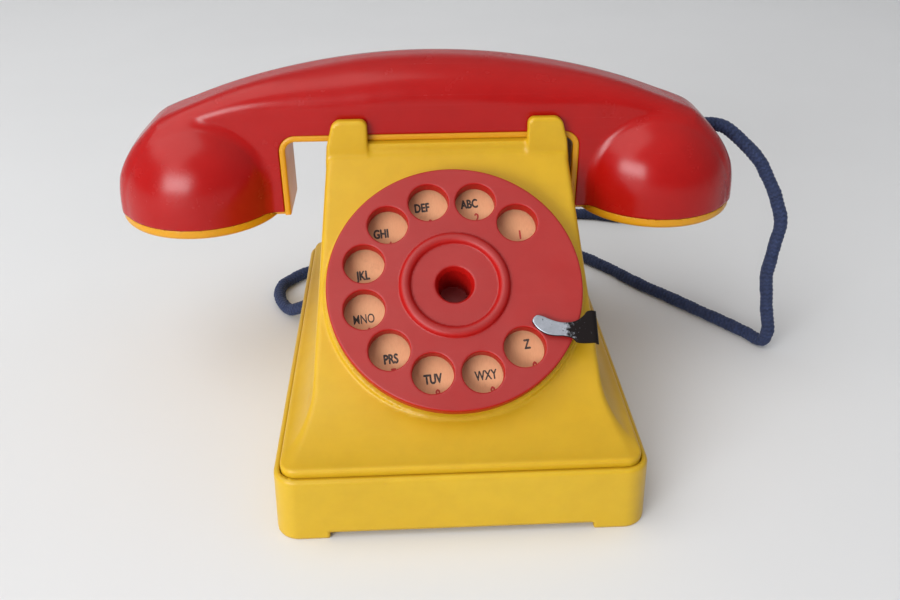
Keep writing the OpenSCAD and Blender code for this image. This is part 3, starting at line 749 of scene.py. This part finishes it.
def red_shell(x, y, z):
    body = handset_body(x, y, z)
    shell = meet(body, RIM_Z + 0.03 - z, 0.3)
    shell = cut(shell, opening(x, z, 2.02), 0.3)
    shell = common(shell, -(body + RED_WALL))
    hole = common(np.sqrt((y - HANDSET_HOLE[0]) ** 2 + (z - HANDSET_HOLE[1]) ** 2) - 2.6, 60 - x)
    return cut(shell, hole, 0.5)


def yellow_shell(x, y, z):
    """Lining of the opening, floors beside it and a round cap under each cup."""
    body = handset_body(x, y, z)
    across = np.abs(x - HANDSET_X)
    lining = meet(body + 0.08, opening(x, z, 2.0), 0.25)
    lining = cut(lining, opening(x, z, 0.0), 0.3)
    lining = common(lining, 61.0 - z)
    floor = common(slab(z, 61.5, 0.5), slab(across, 53.7, 7.0), body + 1.0)
    rho = distance(across - CUP_X, y - HANDSET_Y)
    cap = common(meet(rho - 27.45, 58.8 - z, 1.5), z - RIM_Z)
    shell = np.minimum(np.minimum(lining, floor), cap)
    screw_sink = common(rho - 3.3, z - 60.6)
    return common(cut(shell, screw_sink, 0.2), -(rho - 1.65))


def build_handset():
    left, right = HANDSET_LEFT - 1.2, HANDSET_RIGHT + 1.2
    front, back = HANDSET_Y - 29.6, HANDSET_Y + 29.6
    shell = solid("handset_red_shell", red_shell, (left, front, RIM_Z - 1.2),
                  (right, back, 112.8), step=0.8)
    dress(shell, MATERIALS["handset_red"], "handset", "handset_back_shell")
    shell = solid("handset_yellow_shell", yellow_shell, (left, front, 58.0),
                  (right, back, 89.5), step=0.6)
    dress(shell, MATERIALS["handset_yellow"], "handset", "handset_inner_shell")


# ------------------------------------------------------------------ dial wheel
DISC_RADIUS, DISC_HALF = 38.23, 2.2
RING_RADIUS, RING_TUBE = 14.85, 1.7
HOLE_COUNT, HOLE_CIRCLE, HOLE_RADIUS = 10, 27.84, 6.1
HOLE_START, HOLE_PITCH = 44.65, 30          # degrees
HUB_RADIUS = 6.5


def dial(u, v, w):
    rho = distance(u, v)
    wheel = meet(rho - DISC_RADIUS, slab(w, -DISC_HALF, DISC_HALF), 0.55)
    ring = np.sqrt((rho - RING_RADIUS) ** 2 + (w + 0.1) ** 2) - RING_TUBE
    wheel = join(wheel, ring, 0.25)
    angles = [math.radians(HOLE_START + HOLE_PITCH * k) for k in range(HOLE_COUNT)]
    holes = reduce(np.minimum, [
        np.sqrt((u - HOLE_CIRCLE * math.cos(a)) ** 2 + (v - HOLE_CIRCLE * math.sin(a)) ** 2)
        - HOLE_RADIUS for a in angles])
    wheel = cut(wheel, holes, 0.45)
    wheel = np.minimum(wheel, meet(rho - HUB_RADIUS, slab(w, -11, 8.0), 0.3))
    # the bore flares through the disc and tapers down the hub to a thin web
    bore = np.where(w > -2.2, 5.0 + (w + 2.2) * 0.40, 4.75 + np.maximum(w + 9.0, 0) * 0.037)
    wheel = cut(wheel, (rho - bore) * 0.9, 0.35)
    return np.minimum(wheel, common(rho - 5.2, slab(w, -15.5, 0.6)))


def build_dial():
    wheel = solid("dial_disc", dial, (-39.2, -39.2, -20.0), (39.2, 39.2, 2.4), step=0.45,
                  in_dial_axes=True)
    dress(wheel, MATERIALS["dial"], "dial", "dial_wheel")


# ------------------------------------------------------------------ finger stop
# outline of the flat plate, (u, v)
HOOK = spline([
    (22.05, -12.3), (23.3, -10.9), (25.0, -11.15), (27.0, -12.1), (29.5, -13.05),
    (32.2, -13.35), (34.9, -12.9), (37.1, -11.4), (38.4, -10.05), (40.6, -9.9),
    (42.4, -10.1), (42.4, -19.6), (40.0, -19.7), (37.8, -19.75), (36.0, -19.7),
    (34.5, -19.3), (33.4, -18.1), (31.0, -17.4), (28.4, -17.25), (26.0, -16.7),
    (23.9, -15.4), (22.5, -13.7)], 4, closed=True)
STOP_RIGHT, STOP_TOP, STOP_BOTTOM = 41.2, 2.0, -8.2
BEND_RADIUS = 1.7


def finger_stop(u, v, w):
    """A bent strip: a flat plate, then a leg that turns down through the housing."""
    outline = polygon(u, v, HOOK)
    flat = slab(w, 1.45, 0.55)
    bend_u, bend_w = STOP_RIGHT - BEND_RADIUS, STOP_TOP - BEND_RADIUS
    du, dw = np.maximum(u - bend_u, 0), np.maximum(w - bend_w, 0)
    bend = np.abs(distance(du, dw) - (BEND_RADIUS - 0.5)) - 0.5
    leg = np.maximum(slab(u, 40.3, 0.9), 0.0)       # the leg's field never falls below zero
    strip = np.where(w < bend_w, leg, np.where(u < bend_u, flat, bend))
    band = common(v + 9.8, -19.7 - v)
    body = meet(strip, np.where(w < bend_w, band, outline), 0.28)
    return common(body, STOP_BOTTOM - w)


def build_finger_stop():
    hook = solid("finger_stop_hook", finger_stop, (20.6, -20.8, -9.0), (42.4, -8.4, 3.0),
                 step=0.26, in_dial_axes=True)
    dress(hook, MATERIALS["stop"], "base", "finger_stop")


# ------------------------------------------------------------------ screws, heads down
HEAD_RADIUS, HEAD_HALF = 2.95, 0.8
SHANK_RADIUS = 1.42
THREAD_DEPTH, THREAD_PITCH, THREAD_START = 0.10, 1.1, 2.2
RECESS_HALF, RECESS_ARM, RECESS_DEPTH = 0.42, 1.7, 0.75     # cross recess


def screw(length):
    def field(x, y, z):
        rho = distance(x, y)
        head = meet(rho - HEAD_RADIUS, slab(z, HEAD_HALF, HEAD_HALF), 0.55)
        ax, ay = np.abs(x), np.abs(y)
        cross = np.minimum(common(ax - RECESS_HALF, ay - RECESS_ARM),
                           common(ay - RECESS_HALF, ax - RECESS_ARM))
        cross = common(cross, z - RECESS_DEPTH)
        shank = common(rho - SHANK_RADIUS, z - length, 0.9 - z)
        turn = (z * 2 * math.pi / THREAD_PITCH) + np.arctan2(y, x)
        thread = THREAD_DEPTH * np.sin(turn)
        shank = shank + np.where(z > THREAD_START, THREAD_DEPTH - thread, 0.0)
        return np.minimum(cut(head, cross, 0.12), shank)
    return field


def build_screws(name, places, length, node, body):
    """Copies of one screw; each place is (x, y, turn in radians)."""
    V, F, N = contour(screw(length), (-3.3, -3.3, -0.4), (3.3, 3.3, length + 0.5), 0.28)
    bottom = box_mm(node)[0][2]
    vertices, faces, normals = [], [], []
    for i, (x, y, angle) in enumerate(places):
        c, s = math.cos(angle), math.sin(angle)
        turn = np.array([[c, s, 0], [-s, c, 0], [0, 0, 1]])
        vertices.append(V @ turn + np.array([x, y, bottom]))
        normals.append(N @ turn)
        faces.append(F + i * len(V))
    screws = make_mesh(name, *(np.concatenate(k) for k in (vertices, faces, normals)))
    dress(screws, MATERIALS["steel"], body, node)


# ------------------------------------------------------------------ card print
# text and its centre (u, v)
LETTERS = [
    ("ABC", 5.81, 28.51), ("DEF", -8.92, 27.52), ("GHI", -21.8, 19.07), ("JKL", -27.46, 5.09),
    ("MNO", -27.28, -8.27), ("PRS", -19.48, -20.85), ("TUV", -7.35, -27.28),
    ("WXY", 8.21, -26.58), ("Z", 20.91, -17.52)]
DIGITS = [
    ("1", 21.14, 17.92), ("2", 8.1, 24.01), ("3", -6.26, 23.03), ("4", -19.09, 15.99),
    ("5", -26.1, 1.9), ("6", -25.83, -11.44), ("7", -18.67, -24.21), ("8", -6.02, -30.91),
    ("9", 10.05, -30.54), ("0", 22.88, -23.41)]
DIGITS = [(text, u, v - (0.2 if text in "12" else 1.0)) for text, u, v in DIGITS]
PRINT_W = -5.335
COPY_LIFT = 0.0012              # between the overlaid copies that thicken the strokes
COPY_SHIFTS = (0, 0), (1, 0.3), (-1, -0.3), (0.3, -1), (-0.3, 1)


def text_mesh(text, size):
    """Vertices and triangles of a line of text."""
    curve = bpy.data.curves.new("text", "FONT")
    curve.body = text
    curve.size = size
    curve.offset = 0.014
    curve.extrude = 0.012
    curve.resolution_u = 4
    curve.space_character = 1.02
    thing = add_object("text", curve)
    bpy.context.view_layer.update()
    depsgraph = bpy.context.evaluated_depsgraph_get()
    mesh = bpy.data.meshes.new_from_object(thing.evaluated_get(depsgraph))
    mesh.calc_loop_triangles()
    V = np.array([vertex.co for vertex in mesh.vertices], float)
    F = np.array([triangle.vertices for triangle in mesh.loop_triangles], int)
    bpy.data.objects.remove(thing)
    bpy.data.curves.remove(curve)
    bpy.data.meshes.remove(mesh)
    return V, F


def build_print(name, items, material, size, narrowing, turn_deg, bold):
    angle = math.radians(turn_deg)
    c, s = math.cos(angle), math.sin(angle)
    vertices, faces, base = [], [], 0
    for text, u, v in items:
        V, F = text_mesh(text, size)
        V[:, :2] -= (V[:, :2].min(0) + V[:, :2].max(0)) / 2
        V[:, 0] *= narrowing
        x, y = V[:, 0] * c - V[:, 1] * s, V[:, 0] * s + V[:, 1] * c
        # M and W would fill in at full boldness
        spread = bold * (0.25 if "M" in text else 0.6 if "W" in text else 1.0)
        for k, (du, dv) in enumerate(COPY_SHIFTS):
            vertices.append(np.stack([x + u + du * spread, y + v + dv * spread,
                                      V[:, 2] + PRINT_W + COPY_LIFT * k], 1))
            faces.append(F + base)
            base += len(V)
    print_ = make_mesh(name, dial_to_world(np.concatenate(vertices)), np.concatenate(faces),
                       smooth=False)
    dress(print_, material, "base")


# ------------------------------------------------------------------ cord
LAID_Z = 2.42                   # centre line where the cord lies on the floor
# centre line from the tray to the handset, (x, y, z)
CORD = [
    (-48.6, *TRAY_HOLE), (-51, *TRAY_HOLE), (-54, 45, 8.1), (-57.8, 46.6, 5.8),
    (-61.6, 50.8, LAID_Z + 0.4),
    *((x, y, LAID_Z) for x, y in [
        (-65.4, 57), (-67.2, 65), (-65.2, 74), (-58, 81.8), (-44, 90), (-20, 106), (8, 127),
        (40, 146), (72, 152), (96, 148.5), (106, 138.5), (99, 129.6), (86, 129.6),
        (71, 133.5), (56, 132), (46.5, 121.5), (49, 107.5), (58, 96.5), (71.4, 80.5),
        (83, 64.5), (96, 48.8), (106.5, 36), (114.9, 25.2)]),
    (119.2, 18.8, LAID_Z + 0.2), (120.2, 18.2, 7), (119.2, 19.8, 14), (118, 21.2, 23),
    (117.8, 22.4, 33), (119.4, 24.6, 44), (119.8, 26, 51), (117.6, 27.8, 58),
    (113.8, 29.4, 65.4), (109, 31, 72), (104.6, 32.6, 76.4), (98.8, 35, 81),
    (94.6, 35.9, 82.4), *((x, *HANDSET_HOLE) for x in (90.5, 85, 79.4))]
CORD_STEP = 0.34
AROUND = 40                     # vertices round the cord
BRAID_PITCH, BRAID_STRANDS = 13.0, 4        # strands in each of the two directions
CORE_RADIUS, STRAND_HEIGHT, CORD_RADIUS_MAX = 1.86, 0.50, 2.5
WAVER = (31.0, 0.20), (13.0, 0.12), (6.5, 0.05)     # (wavelength, height) of sideways waves
LUMPS = (9.0, 0.05), (4.1, 0.04), (23.0, 0.05)      # the same for the radius


def cord_frame(C):
    """Two directions across the cord, carried along it without twist."""
    T = np.gradient(C, axis=0)
    T /= np.linalg.norm(T, axis=1)[:, None]
    side = np.zeros_like(C)
    a = np.cross([0, 0, 1.0], T[0])
    a /= np.linalg.norm(a)
    for i in range(len(C)):
        a = a - (a @ T[i]) * T[i]
        a /= np.linalg.norm(a)
        side[i] = a
    return side, np.cross(T, side)


def cord_faces(rings):
    """Outward quads of the tube, and end caps fanned from two extra vertices."""
    m = AROUND
    i, j = np.meshgrid(np.arange(rings - 1), np.arange(m), indexing="ij")
    j2 = (j + 1) % m
    tube = np.stack([i * m + j, i * m + j2, (i + 1) * m + j2, (i + 1) * m + j], -1)
    first, last = rings * m, rings * m + 1
    end = (rings - 1) * m
    caps = []
    for q in range(0, m, 2):
        caps.append([first, (q + 2) % m, q + 1, q])
        caps.append([last, end + q, end + q + 1, end + (q + 2) % m])
    return np.concatenate([tube.reshape(-1, 4), np.array(caps)])


def build_cord():
    rng = np.random.default_rng(7)
    path = spline(CORD, 24)
    s = np.concatenate([[0], np.cumsum(np.linalg.norm(np.diff(path, axis=0), axis=1))])
    n = int(s[-1] / CORD_STEP)
    along = np.linspace(0, s[-1], n)
    C = np.stack([np.interp(along, s, path[:, k]) for k in range(3)], 1)

    def wave(length, height):
        return height * np.sin(2 * math.pi * (along / length + rng.random()))

    # slight waver in x and y, none where the cord passes a wall
    loose = np.clip((along - 12) / 15, 0, 1) * np.clip((s[-1] - along - 22) / 15, 0, 1)
    waver = np.zeros_like(C)
    for k in range(2):
        for length, height in WAVER:
            waver[:, k] += wave(length, height)
    C = C + waver * loose[:, None]
    side, up = cord_frame(C)

    # round braid: two families of strands over and under each other
    angle = 2 * math.pi * np.arange(AROUND) / AROUND
    around = angle[None, :] * BRAID_STRANDS
    twist = 2 * math.pi * BRAID_STRANDS * along[:, None] / BRAID_PITCH
    A, B = around + twist, around - twist
    over = 0.5 + 0.5 * np.tanh(3.0 * np.sin(A + B))
    height = over * np.abs(np.cos(A)) ** 0.6 + (1 - over) * np.abs(np.cos(B)) ** 0.6
    fuzz = rng.standard_normal((n, AROUND)) * 0.035
    lump = np.zeros(n)
    for length, rise in LUMPS:
        lump += wave(length, rise)
    R = CORE_RADIUS + STRAND_HEIGHT * height + fuzz + lump[:, None] * loose[:, None]
    R = np.minimum(R, CORD_RADIUS_MAX)

    across = (np.cos(angle)[None, :, None] * side[:, None, :]
              + np.sin(angle)[None, :, None] * up[:, None, :])
    V = (C[:, None, :] + R[:, :, None] * across).reshape(-1, 3)
    V[:, 2] = np.maximum(V[:, 2], 0.04)     # flattened where it would pass through the floor
    cord = make_mesh("cord_braid", np.concatenate([V, C[:1], C[-1:]]), cord_faces(n))
    # groove depth per vertex, used by the cord material to paint shade into the grooves
    groove = cord.data.attributes.new("groove", "FLOAT", "POINT")
    depth = np.concatenate([(1 - height).ravel(), [1, 1]])
    groove.data.foreach_set("value", depth.astype(np.float32))
    cord.data.materials.append(MATERIALS["cord"])
    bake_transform(cord)
    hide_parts("cord", "handset_cord_end")


# ------------------------------------------------------------------ CAD nodes kept as they are
KEPT_NODES = {
    "number_card": "card", "finger_stop_rivet": "steel", "dial_return_spring": "spring",
    "gong": "bell", "gong_screw": "steel", "striker_pin": "steel", "striker_spring": "spring",
    "base_cord_knot": "cord", "click_wheel": "white", "hub_clip": "steel",
    "striker_arm": "steel", "striker_hammer": "steel", "handset_cord_knot": "cord"}


def colour_kept_nodes():
    for node, key in KEPT_NODES.items():
        thing = frame["nodes"][node]
        if not thing.material_slots:
            thing.data.materials.append(MATERIALS[key])
        for slot in thing.material_slots:
            slot.material = MATERIALS[key]


# ------------------------------------------------------------------ floor, light and camera
FLOOR_FRONT, FLOOR_BACK, FLOOR_HALF_X = -1600, 900, 2400
SWEEP_RADIUS, BACKDROP_TOP = 500, 2400
# height up the sky (0 straight down, 1 straight up) and colour
SKY_ENDS = (0.20, 0.20, 0.20), (0.78, 0.78, 0.78)
SKY = [(0.5, (0.20, 0.21, 0.23)), (0.56, (0.30, 0.31, 0.34)),
       (0.75, (0.50, 0.52, 0.55)), (0.92, (0.72, 0.73, 0.74))]


def floor_material():
    material, g, shader = new_material("studio_floor")
    tone = g.remap(g.noise(scale=2.2, detail=4, rough=0.6), (0.3, 0.7), (0, 1))
    grit = g.noise(scale=260, detail=4, rough=0.6)
    g.set(shader, {"Base Color": g.mix(tone, (0.70, 0.698, 0.70), (0.75, 0.748, 0.75)),
                   "Roughness": 0.6,
                   "Normal": g.bump(grit, strength=0.08, distance=0.0004)})
    return material


def build_floor():
    """Floor that sweeps up softly far behind."""
    sweep = [(FLOOR_BACK + SWEEP_RADIUS * math.sin(a), SWEEP_RADIUS - SWEEP_RADIUS * math.cos(a))
             for a in np.linspace(0.1, math.pi / 2, 12)]
    profile = [(FLOOR_FRONT, 0), (FLOOR_BACK, 0), *sweep,
               (FLOOR_BACK + SWEEP_RADIUS, BACKDROP_TOP)]
    V = [(x, y, z) for y, z in profile for x in (-FLOOR_HALF_X, FLOOR_HALF_X)]
    F = [[2 * i, 2 * i + 1, 2 * i + 3, 2 * i + 2] for i in range(len(profile) - 1)]
    floor = make_mesh("stage_floor", V, F)
    floor.data.materials.append(floor_material())


def build_world():
    world = bpy.data.worlds.new("studio")
    bpy.context.scene.world = world
    world.use_nodes = True
    g = Graph(world.node_tree)
    z = g.node("ShaderNodeSeparateXYZ", {0: g.coords["Generated"]}).outputs[2]
    ramp = g.node("ShaderNodeValToRGB", {0: g.math("MULTIPLY_ADD", z, 0.5, 0.5)})
    elements = ramp.color_ramp.elements
    for position, colour in SKY:
        elements.new(position).color = (*colour, 1)
    elements[0].color, elements[-1].color = ((*colour, 1) for colour in SKY_ENDS)
    g.set(g.tree.nodes["Background"], {0: ramp.outputs[0], 1: 0.80})


def area_light(name, place, target, size, power, colour):
    """Rectangular light at place, aimed at target; metres and watts."""
    light = bpy.data.lights.new(name, "AREA")
    light.shape = "RECTANGLE"
    light.size, light.size_y = size
    light.energy = power
    light.color = colour
    lamp = add_object(name, light)
    lamp.location = place
    lamp.rotation_mode = "QUATERNION"
    lamp.rotation_quaternion = (Vector(target) - Vector(place)).to_track_quat("-Z", "Y")


def build_camera(place, yaw, pitch, roll):
    """Camera looking along +y, turned yaw to the right and pitch down (metres, radians)."""
    data = bpy.data.cameras.new("camera")
    data.sensor_width = 36.0
    data.sensor_fit = "HORIZONTAL"
    data.lens = 36.0804
    data.clip_start, data.clip_end = 0.01, 20
    camera = add_object("camera", data)
    forward = Vector((math.sin(yaw) * math.cos(pitch), math.cos(yaw) * math.cos(pitch),
                      -math.sin(pitch)))
    level = Vector((math.cos(yaw), -math.sin(yaw), 0))
    upright = level.cross(forward)
    right = level * math.cos(roll) + upright * math.sin(roll)
    up = -level * math.sin(roll) + upright * math.cos(roll)
    pose = Matrix((right, up, -forward)).transposed().to_4x4()
    pose.translation = place
    camera.matrix_world = pose
    bpy.context.scene.camera = camera


# ------------------------------------------------------------------ build
build_housing()
build_tray()
build_handset()
build_dial()
build_finger_stop()
build_screws("base_screw_set", length=17.0, node="base_screws", body="base",
             places=[(SCREW_X, SCREW_Y, 0.3), (-SCREW_X, SCREW_Y, 1.0),
                     (SCREW_X, -SCREW_Y, 0.7), (-SCREW_X, -SCREW_Y, 1.4)])
build_screws("handset_screw_set", length=13.0, node="handset_screws", body="handset",
             places=[(HANDSET_X - CUP_X, HANDSET_Y, 0.5), (HANDSET_X + CUP_X, HANDSET_Y, 1.2)])
build_print("card_letters", LETTERS, MATERIALS["black_ink"], size=4.05, narrowing=0.67,
            turn_deg=5.5, bold=0.14)
build_print("card_digits", DIGITS, MATERIALS["red_ink"], size=4.0, narrowing=0.70,
            turn_deg=4.0, bold=0.13)
build_cord()
colour_kept_nodes()

build_floor()
build_world()
area_light("light_overhead", place=(-0.72, -0.30, 1.12), target=(-0.03, 0.0, 0.05),
           size=(1.4, 1.3), power=10.4, colour=(1.0, 0.985, 0.96))
area_light("light_window", place=(-0.85, -1.25, 0.45), target=(-0.02, 0, 0.10),
           size=(1.00, 0.50), power=19.2, colour=(0.95, 0.98, 1.0))
bpy.context.scene.view_settings.view_transform = "Standard"
build_camera(place=(-0.013063, -0.260578, 0.190851), yaw=0.0500, pitch=0.5372, roll=-0.0021)
